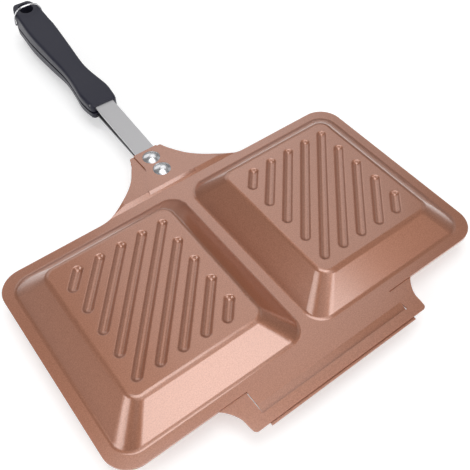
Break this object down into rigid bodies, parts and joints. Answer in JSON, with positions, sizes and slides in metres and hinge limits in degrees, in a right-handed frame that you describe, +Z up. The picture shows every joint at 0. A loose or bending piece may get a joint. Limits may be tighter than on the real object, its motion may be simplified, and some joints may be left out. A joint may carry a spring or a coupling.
{
  "type": "sandwich_iron",
  "caption": "Camping sandwich iron: two ribbed copper-coloured pans hooked together at the front, riveted steel straps, black grips, wire locking bail",
  "frame": {"origin": "middle of the closed iron's overall length and width in plan, at the height of the cell floors it stands on", "axes": "+X across both cells, +Y from the hook hinge towards the grips, +Z up"},
  "size_m": [0.3, 0.4757, 0.0425],
  "materials": {
    "pan_coating": "satin",
    "strap_steel": "satin",
    "rivet_metal": "polished",
    "grip_plastic": "satin",
    "pin_steel": "satin",
    "bail_wire": "polished"
  },
  "bodies": {
    "lower_half": {"lower_pan": "pan_coating", "lower_strap": "strap_steel", "lower_rivet_far": "rivet_metal", "lower_rivet_near": "rivet_metal", "lower_grip": "grip_plastic", "lower_grip_pin": "pin_steel"},
    "upper_half": {"upper_pan": "pan_coating", "upper_strap": "strap_steel", "upper_rivet_far": "rivet_metal", "upper_rivet_near": "rivet_metal", "upper_grip": "grip_plastic", "upper_grip_pin": "pin_steel"},
    "bail": {"locking_bail": "bail_wire"}
  },
  "joints": [
    {"name": "hook_hinge", "type": "hinge", "parent": "lower_half", "child": "upper_half", "pos_m": [0, -0.226, 0.02025], "axis": [1, 0, 0], "range_deg": [0, 180]},
    {"name": "bail_swing", "type": "hinge", "parent": "upper_half", "child": "bail", "pos_m": [0.00644, 0.22021, 0.02335], "axis": [0.9996, -0.0279, 0], "range_deg": [-180, 0]}
  ]
}
